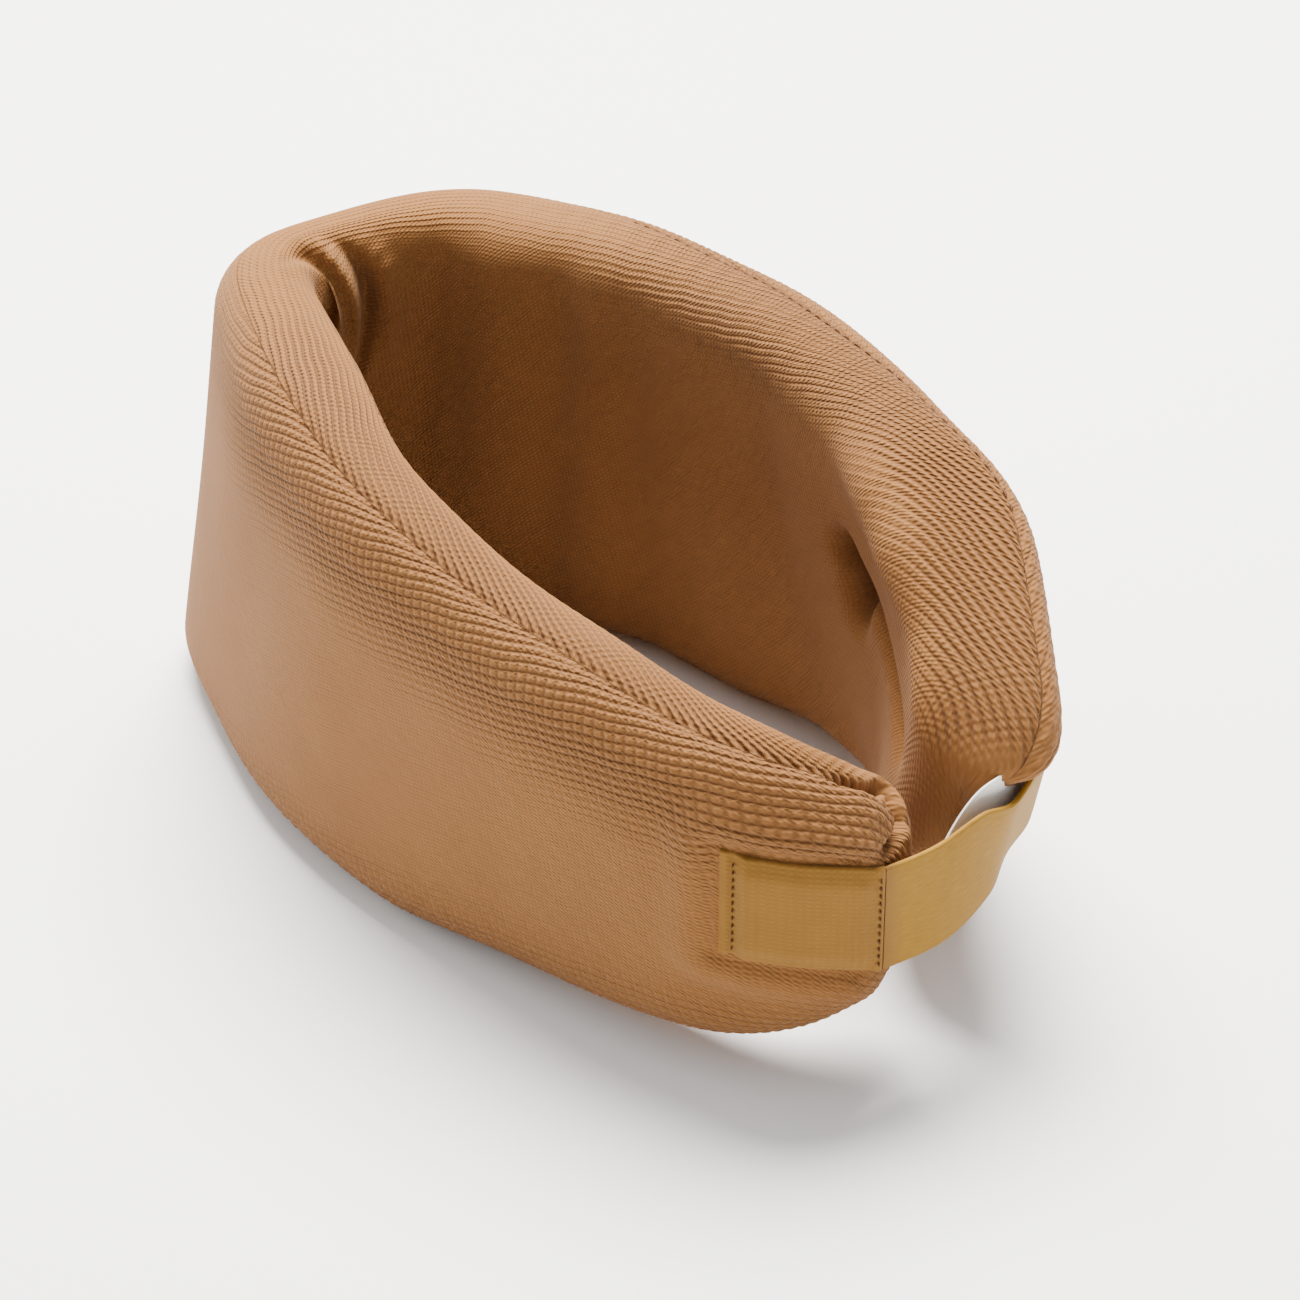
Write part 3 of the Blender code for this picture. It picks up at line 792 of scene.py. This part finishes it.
class Look:
    """A Principled material with helpers that add and join nodes."""

    def __init__(self, name, roughness=0.8, sheen=0.0, sheen_tint=(1, 1, 1)):
        self.material = bpy.data.materials.new(name)
        self.material.use_nodes = True
        self.tree = self.material.node_tree
        self.shader = self.tree.nodes["Principled BSDF"]
        self.shader.inputs["Roughness"].default_value = roughness
        self.shader.inputs["Specular IOR Level"].default_value = 0.25
        self.shader.inputs["Sheen Weight"].default_value = sheen
        self.shader.inputs["Sheen Roughness"].default_value = 0.5
        self.shader.inputs["Sheen Tint"].default_value = (*sheen_tint, 1)

    def node(self, kind, **values):
        """A new node; each value goes to the input of that name, or else to the property."""
        node = self.tree.nodes.new(kind)
        for key, value in values.items():
            if key in node.inputs:
                node.inputs[key].default_value = value
            else:
                setattr(node, key, value)
        return node

    def join(self, source, target):
        self.tree.links.new(source, target)

    def math(self, operation, *values):
        node = self.node("ShaderNodeMath", operation=operation)
        for slot, value in zip(node.inputs, values):
            if isinstance(value, (int, float)):
                slot.default_value = value
            else:
                self.join(value, slot)
        return node.outputs[0]

    def times(self, a, b):
        return self.math("MULTIPLY", a, b)

    def plus(self, a, b):
        return self.math("ADD", a, b)

    def without(self, value):
        """What the value leaves of 1."""
        return self.math("SUBTRACT", 1.0, value)

    def attribute(self, name):
        return self.node("ShaderNodeAttribute", attribute_name=name).outputs["Fac"]

    def cloth(self):
        """The cloth coordinates in millimetres, as one vector."""
        return self.node("ShaderNodeUVMap", uv_map="cloth").outputs["UV"]

    def along_across(self):
        """The cloth coordinates in millimetres, one by one."""
        parts = self.node("ShaderNodeSeparateXYZ")
        self.join(self.cloth(), parts.inputs[0])
        return parts.outputs[0], parts.outputs[1]

    def noise(self, scale, detail=3.0, vector=None, rough=0.5):
        node = self.node("ShaderNodeTexNoise", Scale=scale, Detail=detail, Roughness=rough)
        if vector is None:
            vector = self.node("ShaderNodeTexCoord").outputs["Object"]
        self.join(vector, node.inputs["Vector"])
        return node.outputs["Fac"]

    def ramp(self, factor, stops):
        node = self.node("ShaderNodeValToRGB")
        ramp = node.color_ramp
        while len(ramp.elements) < len(stops):
            ramp.elements.new(0.5)
        for element, (place, colour) in zip(ramp.elements, stops):
            element.position = place
            element.color = (*colour, 1)
        self.join(factor, node.inputs["Fac"])
        return node.outputs["Color"]

    def mix(self, factor, a, b):
        """Colour a where the factor is 0, and b where it is 1."""
        node = self.node("ShaderNodeMix", data_type="RGBA")
        sockets = {socket.identifier: socket for socket in node.inputs}
        for key, value in (("Factor_Float", factor), ("A_Color", a), ("B_Color", b)):
            if isinstance(value, (int, float)):
                sockets[key].default_value = value
            elif isinstance(value, tuple):
                sockets[key].default_value = (*value, 1)
            else:
                self.join(value, sockets[key])
        return [out for out in node.outputs if out.identifier == "Result_Color"][0]

    def bump(self, height, distance, strength=1.0, before=None):
        node = self.node("ShaderNodeBump", Distance=distance, Strength=strength)
        self.join(height, node.inputs["Height"])
        if before is not None:
            self.join(before, node.inputs["Normal"])
        return node.outputs["Normal"]

    def finish(self, colour, normal=None):
        """Joins the colour and the normal to the shader, and returns the material."""
        self.join(colour, self.shader.inputs["Base Color"])
        if normal is not None:
            self.join(normal, self.shader.inputs["Normal"])
        return self.material


# Colours, linear
KNIT_LIGHT = (0.236, 0.100, 0.025)
KNIT_BASE = (0.192, 0.078, 0.018)
# Painted shade: the dark brown mixed into the knit's grooves, its creases and the gaps between its loops
KNIT_PAINTED_SHADE = (0.066, 0.022, 0.005)
PATCH_LIGHT = (0.215, 0.100, 0.012)
PATCH_BASE = (0.172, 0.078, 0.009)
GOLD_LIGHT = (0.290, 0.146, 0.005)
GOLD_BASE = (0.232, 0.114, 0.003)
GOLD_DEEP = (0.170, 0.079, 0.002)
THREAD_LIGHT = (0.130, 0.056, 0.016)
THREAD_DARK = (0.060, 0.022, 0.006)
LABEL_WHITE = (0.86, 0.84, 0.82)
LABEL_SHADE = (0.70, 0.66, 0.62)
FLOOR_LIGHT = (0.90, 0.895, 0.885)
FLOOR_SHADE = (0.86, 0.855, 0.845)


def wave(look, value, pitch, shift=0.0):
    """A sine of the value with the given pitch, 0 to 1."""
    turn = look.plus(look.times(value, 2 * math.pi / pitch), shift)
    return look.plus(look.times(look.math("SINE", turn), 0.5), 0.5)


def knit_look():
    """Ribs and stitch cells that follow the modelled relief, over fine loops and fuzz, coloured with
    painted shade in the grooves, between the loops and in the creases.
    """
    look = Look("knit", 0.9, 0.05, (1.0, 0.80, 0.62))
    along, across = look.along_across()

    def lines(value, pitch, sharpness):
        return look.math("POWER", wave(look, value, pitch * 1000, math.pi / 2), sharpness)

    def blend(share, a, b):
        back = look.without(share)
        return look.plus(look.times(a, back), look.times(b, share))

    ribs = lines(across, RIB_PITCH, RIB_SHARPNESS)
    columns = look.times(lines(along, COLUMN_PITCH, CELL_SHARPNESS), 0.7)
    cells = look.math("MAXIMUM", lines(across, ROW_PITCH, CELL_SHARPNESS), columns)
    small_columns = lines(along, CELL_COLUMN_PITCH, 1.5)
    squares = look.math("MAXIMUM", lines(across, RIB_PITCH, CELL_SHARPNESS), small_columns)
    inner = blend(look.attribute("turned"), ribs, squares)
    grooves = blend(look.attribute("outer"), inner, cells)
    grooves = look.times(grooves, look.attribute("strength"))
    loops = look.times(wave(look, along, 1.05), wave(look, across, 0.78, 1.0))
    twill = wave(look, look.plus(along, look.times(across, 1.4)), 1.25)
    stitches = look.plus(look.times(loops, 0.6), look.times(twill, 0.4))
    fuzz = look.noise(2600.0, 4.0)
    tone = look.mix(look.noise(55.0, 3.0), KNIT_BASE, KNIT_LIGHT)
    between = look.without(stitches)
    # Painted shade: the gaps between the loops darkened
    tone = look.mix(look.times(between, 0.26), tone, KNIT_PAINTED_SHADE)
    # Painted shade in the grooves of the ribs and stitch cells
    tone = look.mix(look.times(grooves, 0.55), tone, KNIT_PAINTED_SHADE)
    # Painted shade in the creases and along the right seam's groove, from the shade attribute
    tone = look.mix(look.times(look.attribute("shade"), 0.8), tone, KNIT_PAINTED_SHADE)
    normal = look.bump(look.without(grooves), 0.0004, 0.7)
    normal = look.bump(stitches, 0.00028, 0.8, normal)
    normal = look.bump(fuzz, 0.00007, 0.5, normal)
    return look.finish(tone, normal)


def knit_patch_look():
    """The patch's knit: finer, a little golden, with upright ribs, and painted shade between its loops."""
    look = Look("knit_patch", 0.85, 0.05, (1.0, 0.88, 0.7))
    along, across = look.along_across()
    ribs = wave(look, along, 1.1)
    loops = look.times(ribs, wave(look, across, 0.9))
    patches = look.noise(160.0, 4.0)
    tone = look.mix(patches, PATCH_BASE, PATCH_LIGHT)
    between = look.without(loops)
    # Painted shade: the gaps between the loops darkened
    tone = look.mix(look.times(between, 0.12), tone, KNIT_PAINTED_SHADE)
    normal = look.bump(loops, 0.0001, 0.6)
    return look.finish(tone, look.bump(look.noise(2600.0, 4.0), 0.00012, 0.5, normal))


def tape_look():
    """Brushed golden tape: fine streaks along it under a soft nap."""
    look = Look("strap", 0.72, 0.03, (1.0, 0.85, 0.50))
    stretch = look.node("ShaderNodeMapping")
    stretch.inputs["Scale"].default_value = (0.25, 2.6, 1.0)
    look.join(look.cloth(), stretch.inputs["Vector"])
    streaks = look.noise(1.4, 4.0, stretch.outputs[0], 0.6)
    nap = look.noise(3200.0, 4.0)
    patches = look.noise(90.0, 2.0)
    tone = look.ramp(streaks, ((0.30, GOLD_DEEP), (0.50, GOLD_BASE), (0.72, GOLD_LIGHT)))
    tone = look.mix(look.times(patches, 0.5), tone, GOLD_BASE)
    along, _ = look.along_across()
    root = look.without(look.times(along, 0.24))
    tone = look.mix(look.math("MAXIMUM", root, 0.0), tone, PATCH_BASE)
    normal = look.bump(streaks, 0.00012, 0.5)
    normal = look.bump(nap, 0.00012, 0.6, normal)
    return look.finish(tone, normal)


def loop_look():
    """Loop tape: a dense fuzz of small loops."""
    look = Look("loop_fuzz", 0.9, 0.6, (1.0, 0.9, 0.7))
    loops = look.noise(1500.0, 5.0, rough=0.7)
    tone = look.ramp(loops, ((0.35, GOLD_DEEP), (0.60, GOLD_LIGHT)))
    return look.finish(tone, look.bump(loops, 0.0006, 0.9))


def hook_look():
    """Hook tape: rows of small nylon hooks."""
    look = Look("hook_rows", 0.42)
    cells = look.node("ShaderNodeTexVoronoi", Scale=1100.0)
    look.join(look.node("ShaderNodeTexCoord").outputs["Object"], cells.inputs["Vector"])
    tone = look.ramp(cells.outputs["Distance"], ((0.1, GOLD_LIGHT), (0.6, GOLD_DEEP)))
    return look.finish(tone, look.bump(cells.outputs["Distance"], 0.0006, 1.0))


def thread_look(name, light, dark):
    """Twisted sewing thread."""
    look = Look(name, 0.8)
    twist = look.noise(4200.0, 2.0)
    tone = look.ramp(twist, ((0.35, dark), (0.65, light)))
    return look.finish(tone, look.bump(twist, 0.0001, 0.6))


def label_look():
    """White satin: fine lines along, with a soft shine."""
    look = Look("label", 0.38, 0.15)
    along, across = look.along_across()
    lines = look.times(wave(look, across, 0.35), wave(look, along, 0.5))
    tone = look.mix(look.times(lines, 0.5), LABEL_WHITE, LABEL_SHADE)
    return look.finish(tone, look.bump(lines, 0.00006, 0.5))


def floor_look():
    """Matt off-white paper."""
    look = Look("floor_paper", 0.9)
    grain = look.noise(40.0, 2.0)
    tone = look.mix(look.times(grain, 0.2), FLOOR_LIGHT, FLOOR_SHADE)
    return look.finish(tone)


# Strap, patch, stitches and label


def strap_edges(s, z, lift):
    """The strap's lower and upper edge at a place on the wall, with its middle lifted off the face."""
    out = outer_face(s, z) + lift
    half = TAPE_WIDTH / 2
    low, middle, high = (wall_point(s, out, height) for height in (z - half, z, z + half))
    bulge = middle - (low + high) / 2
    return low + bulge, high + bulge


class Strap:
    """The strap's mid surface: two edge curves, ruled across."""

    def __init__(self):
        root = strap_edges(ROOT, BASE_HEIGHTS[0], ROOT_LIFT)
        tip = [strap_edges(LENGTH - left, z, TAPE_STACK) for left, z in zip(TIP_STATIONS, TIP_HEIGHTS)]
        lower, upper = zip(root, *zip(BRIDGE_LOWER, BRIDGE_UPPER), *tip)
        self.lower = catmull_rom(lower, LINE_POINTS)
        self.upper = catmull_rom(upper, LINE_POINTS)
        middle = (self.lower + self.upper) / 2
        steps = np.linalg.norm(np.diff(middle, axis=0), axis=1)
        self.along = np.concatenate([[0], np.cumsum(steps)])
        self.length = self.along[-1]

    def on_edge(self, edge, distance):
        """Places on an edge curve, at distances along the strap."""
        return np.stack([np.interp(distance, self.along, edge[:, k]) for k in range(3)], axis=-1)

    def place(self, distance, across, out):
        """Points at distances along, shares across from -0.5 to 0.5, and heights off the mid surface."""
        low = self.on_edge(self.lower, distance)
        span = self.on_edge(self.upper, distance) - low
        ahead = np.minimum(distance + STRAP_STEP, self.length)
        behind = np.maximum(distance - STRAP_STEP, 0)
        run = sum(self.on_edge(e, ahead) - self.on_edge(e, behind) for e in (self.lower, self.upper))
        normal = unit(np.cross(run, span))
        return low + span * (across[:, None] + 0.5) + normal * out[:, None]


def band_mesh(name, place, distances, look, swell, tip=0.0):
    """A tape with rounded edges: rings round its section at each distance, narrowed at a round tip."""
    edge = TAPE / 2
    turns = np.linspace(-math.pi / 2, math.pi / 2, BAND_EDGE_POINTS)[1:-1]
    flat = np.linspace(-1, 1, BAND_FACE_POINTS)
    rings, uvs = [], []
    for d in distances:
        half = TAPE_WIDTH / 2
        if tip:
            half *= 0.5 + 0.5 * float(quarter_round(distances[-1] - d, tip))
        inner = half - edge
        front = [(x * inner, edge) for x in flat]
        right = [(inner + edge * math.cos(turn), edge * math.sin(turn)) for turn in turns[::-1]]
        back = [(x * inner, -edge) for x in flat[::-1]]
        left = [(-inner - edge * math.cos(turn), edge * math.sin(turn)) for turn in turns]
        across, out = np.array(front + right + back + left).T
        out = out + swell(d, across, np.sign(out))
        along = np.full(len(across), d)
        rings.append(place(along, across / TAPE_WIDTH, out))
        uvs.append(np.stack([along, across], axis=-1) * 1000)
    count, rows = len(rings), len(rings[0])
    faces = [face[::-1] for face in grid_faces(count, rows)]
    faces += end_faces(0, (count - 1) * rows, rows)
    band = add_mesh(name, np.concatenate(rings), faces, look, None, np.concatenate(uvs))
    band.data.set_sharp_from_angle(angle=TAPE_EDGE_ANGLE)
    return band


def strap_swell(distance, across, sign):
    """The tape's slight dish between its woven edges, with a faint ripple along it."""
    share = np.abs(across) / (TAPE_WIDTH / 2)
    edge_line = hump(share - 0.90, 0.04)
    ripple = 0.00012 * math.sin(distance * 300) * share
    return -0.00012 * edge_line * sign + ripple


def closure_strap(strap, look):
    """The golden tape, from its root on the base to its rounded tip on the right limb."""
    distances = np.linspace(0, strap.length, STRAP_RINGS)
    return band_mesh("closure_strap_tape", strap.place, distances, look, strap_swell, STRAP_TIP_ROUND)


def tube(path, radius):
    """Rings of a round thread with pointed ends."""
    run = unit(np.gradient(path, axis=0))
    side = unit(np.cross(run, (0.13, 0.21, 0.97)))
    up = np.cross(side, run)
    ends = np.sin(np.linspace(0, math.pi, len(path)))
    sizes = radius * np.maximum(ends, 0.05) ** 0.35
    turns = np.linspace(0, 2 * math.pi, STITCH_SIDES, endpoint=False)[None, :, None]
    offsets = np.cos(turns) * side[:, None] + np.sin(turns) * up[:, None]
    return path[:, None] + offsets * sizes[:, None, None]


def stitch_row(name, places, outs, look, radius, rise, share):
    """A row of sewn stitches: each is a short thread that dives into the cloth at both ends."""
    points, faces = [], []
    t = np.linspace((1 - share) / 2, (1 + share) / 2, STITCH_POINTS)[:, None]
    arch = np.sin(np.linspace(0, math.pi, STITCH_POINTS))[:, None]
    for a, b, out in zip(places[:-1], places[1:], outs):
        rings = tube(a + (b - a) * t + out * (1.6 * arch - 0.8) * rise, radius)
        first = len(points)
        count, rows = rings.shape[:2]
        points += rings.reshape(-1, 3).tolist()
        faces += grid_faces(count, rows, first) + end_faces(first, first + (count - 1) * rows, rows)
    return add_mesh(name, points, faces, look)


def patch_place(distance, across, out):
    """A place on the strap's base: distance from the closure end, across its height."""
    z = base_middle(distance) + across * TAPE_WIDTH
    return wall_point(distance, outer_face(distance, z) + BASE_LIFT + out, z)


def patch_swell(distance, across, sign):
    """A padded patch: crowned in the middle, with sewn-down borders and fine upright ribs."""
    share = np.clip(1 - np.abs(across) / (TAPE_WIDTH / 2), 0, 1)
    span = BASE[1] - BASE[0]
    along = np.clip(min(distance - BASE[0], BASE[1] - distance) / span, 0, 1)
    crown = 0.0011 * smooth(0, 0.35, share) * smooth(0, 0.18, along)
    rows = 0.00006 * math.sin(distance * 2 * math.pi / 0.0013)
    from_edge = BASE[1] - distance
    double_edge = 0.0005 * hump(from_edge - 0.0036, 0.0011)
    stitched = -0.0005 * hump(from_edge - 0.0018, 0.0007)
    join = 0.0005 * (1 - smooth(0.0085, 0.0110, distance))
    return (crown + rows + double_edge + stitched + join) * (sign > 0)


def strap_patch(look):
    """The padded patch that the strap is sewn to."""
    distances = np.linspace(ROOT, BASE[1], BASE_RINGS)
    return band_mesh("strap_base_patch", patch_place, distances, look, patch_swell)


def patch_stitches(name, s, lift, look):
    """A dotted row that crosses the strap's base from its lower to its upper edge."""
    heights = base_middle(s) + TAPE_WIDTH * np.linspace(-0.44, 0.44, DOTTED_STITCHES + 1)
    places = [wall_point(s, outer_face(s, z) + lift, z) for z in heights]
    outs = [np.append(outward(s), 0.0)] * DOTTED_STITCHES
    return stitch_row(name, places, outs, look, radius=0.00024, rise=0.00030, share=0.42)


def right_seam_stitches(cover, look):
    """The dark thread in the groove of the right limb's top seam."""
    start, stop = SEAM_STITCH_SPAN
    spots = [int(np.argmin(np.abs(cover.stations - s))) for s in np.arange(CHIN + start, stop, SEAM_STITCH)]
    places, outs = cover.points[spots, 0], cover.normal[spots, 0]
    return stitch_row(
        "right_seam_stitches", places, outs, look, radius=0.00026, rise=0.00034, share=0.72
    )


def care_label(look):
    """The blank label, a thin satin strip that bows softly between its two edges."""
    count, rows = LABEL_GRID
    root, corner, foot = LABEL_TOP[1], LABEL_TOP[-1], LABEL_BOTTOM[1]
    out = unit(np.cross(np.subtract(foot, root), np.subtract(corner, root)))
    share = np.linspace(0, 1, count)[:, None, None]
    across = np.linspace(0, 1, rows)[None, :, None]
    upper = catmull_rom(LABEL_TOP, count)[:, None]
    lower = catmull_rom(LABEL_BOTTOM, count)[:, None]
    bow = 0.0008 * np.sin(math.pi * share) + 0.0003 * np.sin(9 * share)
    sheet = upper + (lower - upper) * across + out * (bow + 0.0004 * np.sin(math.pi * across))
    points = np.concatenate([(sheet + out * lift).reshape(-1, 3) for lift in LABEL_FACES])
    place = np.stack(np.broadcast_arrays(share[..., 0] * 20, across[..., 0] * 14), axis=-1)

    size = count * rows
    faces = []
    for i in range(count - 1):
        for j in range(rows - 1):
            quad = [i * rows + j, i * rows + j + 1, (i + 1) * rows + j + 1, (i + 1) * rows + j]
            faces.append(quad)
            faces.append([size + k for k in quad[::-1]])
    loop = list(range(rows)) + [i * rows + rows - 1 for i in range(1, count)]
    loop += [(count - 1) * rows + j for j in range(rows - 2, -1, -1)]
    loop += [i * rows for i in range(count - 2, 0, -1)]
    for a, b in zip(loop, loop[1:] + loop[:1]):
        faces.append([b, a, size + a, size + b])
    label = add_mesh("care_label_satin", points, faces, look, None, np.tile(place.reshape(-1, 2), (2, 1)))
    label.data.set_sharp_from_angle(angle=TAPE_EDGE_ANGLE)
    return label


# Stage


def area_light(name, location, size, power, colour):
    """A disk of light that points at the collar."""
    data = bpy.data.lights.new(name, "AREA")
    data.shape = "DISK"
    data.size = size
    data.energy = power
    data.color = colour
    light = bpy.data.objects.new(name, data)
    light.location = location
    aim = Vector(LIGHT_TARGET) - Vector(location)
    light.rotation_euler = aim.to_track_quat("-Z", "Y").to_euler()
    bpy.context.scene.collection.objects.link(light)


def stage():
    """The floor, the studio's surround and its lights."""
    half = FLOOR_HALF
    corners = [(-half, -half, 0), (half, -half, 0), (half, half, 0), (-half, half, 0)]
    floor = add_mesh("floor", corners, [[0, 1, 2, 3]], floor_look())
    floor.location.z = -FLOOR_GAP
    world = bpy.data.worlds.new("studio")
    world.use_nodes = True
    background = world.node_tree.nodes["Background"]
    background.inputs["Color"].default_value = (*WORLD_COLOUR, 1)
    background.inputs["Strength"].default_value = WORLD_STRENGTH
    bpy.context.scene.world = world
    for light in LIGHTS:
        area_light(*light)


def camera():
    """The camera, turned to see the collar as the photo does."""
    data = bpy.data.cameras.new("camera")
    data.lens = CAMERA_LENS
    data.sensor_width = CAMERA_SENSOR
    data.clip_start = 0.01
    eye = bpy.data.objects.new("camera", data)
    flat = math.cos(CAMERA_ELEVATION)
    back = Vector(
        (flat * math.cos(CAMERA_AZIMUTH), flat * math.sin(CAMERA_AZIMUTH), math.sin(CAMERA_ELEVATION))
    )
    eye.location = Vector(CAMERA_TARGET) + back * CAMERA_DISTANCE
    eye.rotation_euler = (-back).to_track_quat("-Z", "Y").to_euler()
    bpy.context.scene.collection.objects.link(eye)
    bpy.context.scene.camera = eye


def add_cover(knit):
    """The cover in three pieces: one on each limb, and the chin's between them."""
    cover = knit_cover()
    start, stop = (int(np.argmin(np.abs(cover.stations - CHIN - half))) for half in (-CHIN_HALF, CHIN_HALF))
    left = cover_piece(cover, "left_knit_cover", 0, start, knit)
    chin = cover_piece(cover, "chin_knit_cover", start, stop, knit)
    right = cover_piece(cover, "right_knit_cover", stop, len(cover.stations) - 1, knit)
    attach(left, "left_limb")
    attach(right, "right_limb")
    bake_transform(chin)
    nodes = ("foam_core", "outer_panel", "inner_panel", "top_seam_thread", "bottom_seam_thread", "end_hem")
    for side, piece in (("left", left), ("right", right)):
        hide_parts(*(f"{side}_{node}" for node in nodes))
    return cover


def add_base(brown):
    """The strap's sewn base with its two stitch rows."""
    patch = strap_patch(knit_patch_look())
    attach(patch, "left_limb")
    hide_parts("strap_base")
    for name, s, lift, node in (
        ("strap_root_stitches", BASE[0] + 0.0006, 0.0019, "strap_root_thread"),
        ("strap_base_stitches", BASE[1] - 0.0018, 0.0014, "strap_base_thread"),
    ):
        row = patch_stitches(name, s, lift, brown)
        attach(row, "left_limb")
        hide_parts(node)


def add_strap():
    """The closure strap."""
    strap = Strap()
    band = closure_strap(strap, tape_look())
    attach(band, "strap")
    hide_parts("closure_strap")


def add_label():
    """The care label at the right limb's end."""
    label = care_label(label_look())
    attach(label, "right_limb")
    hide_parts("care_label")


def dress_cad_nodes():
    """Materials for the tapes and threads that stay as the CAD builds them."""
    gold = thread_look("gold_thread", GOLD_LIGHT, GOLD_DEEP)
    looks = {
        "hook_tape": hook_look(),
        "hook_tape_thread": gold,
        "loop_tape": loop_look(),
        "loop_tape_upper_thread": gold,
        "loop_tape_lower_thread": gold,
    }
    for node, look in looks.items():
        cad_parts[node].data.materials.clear()
        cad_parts[node].data.materials.append(look)


def build():
    """Every piece of the visual model."""
    brown = thread_look("brown_thread", THREAD_LIGHT, THREAD_DARK)
    cover = add_cover(knit_look())
    add_base(brown)
    stitches = right_seam_stitches(cover, brown)
    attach(stitches, "right_limb")
    add_strap()
    add_label()
    dress_cad_nodes()


build()
stage()
camera()
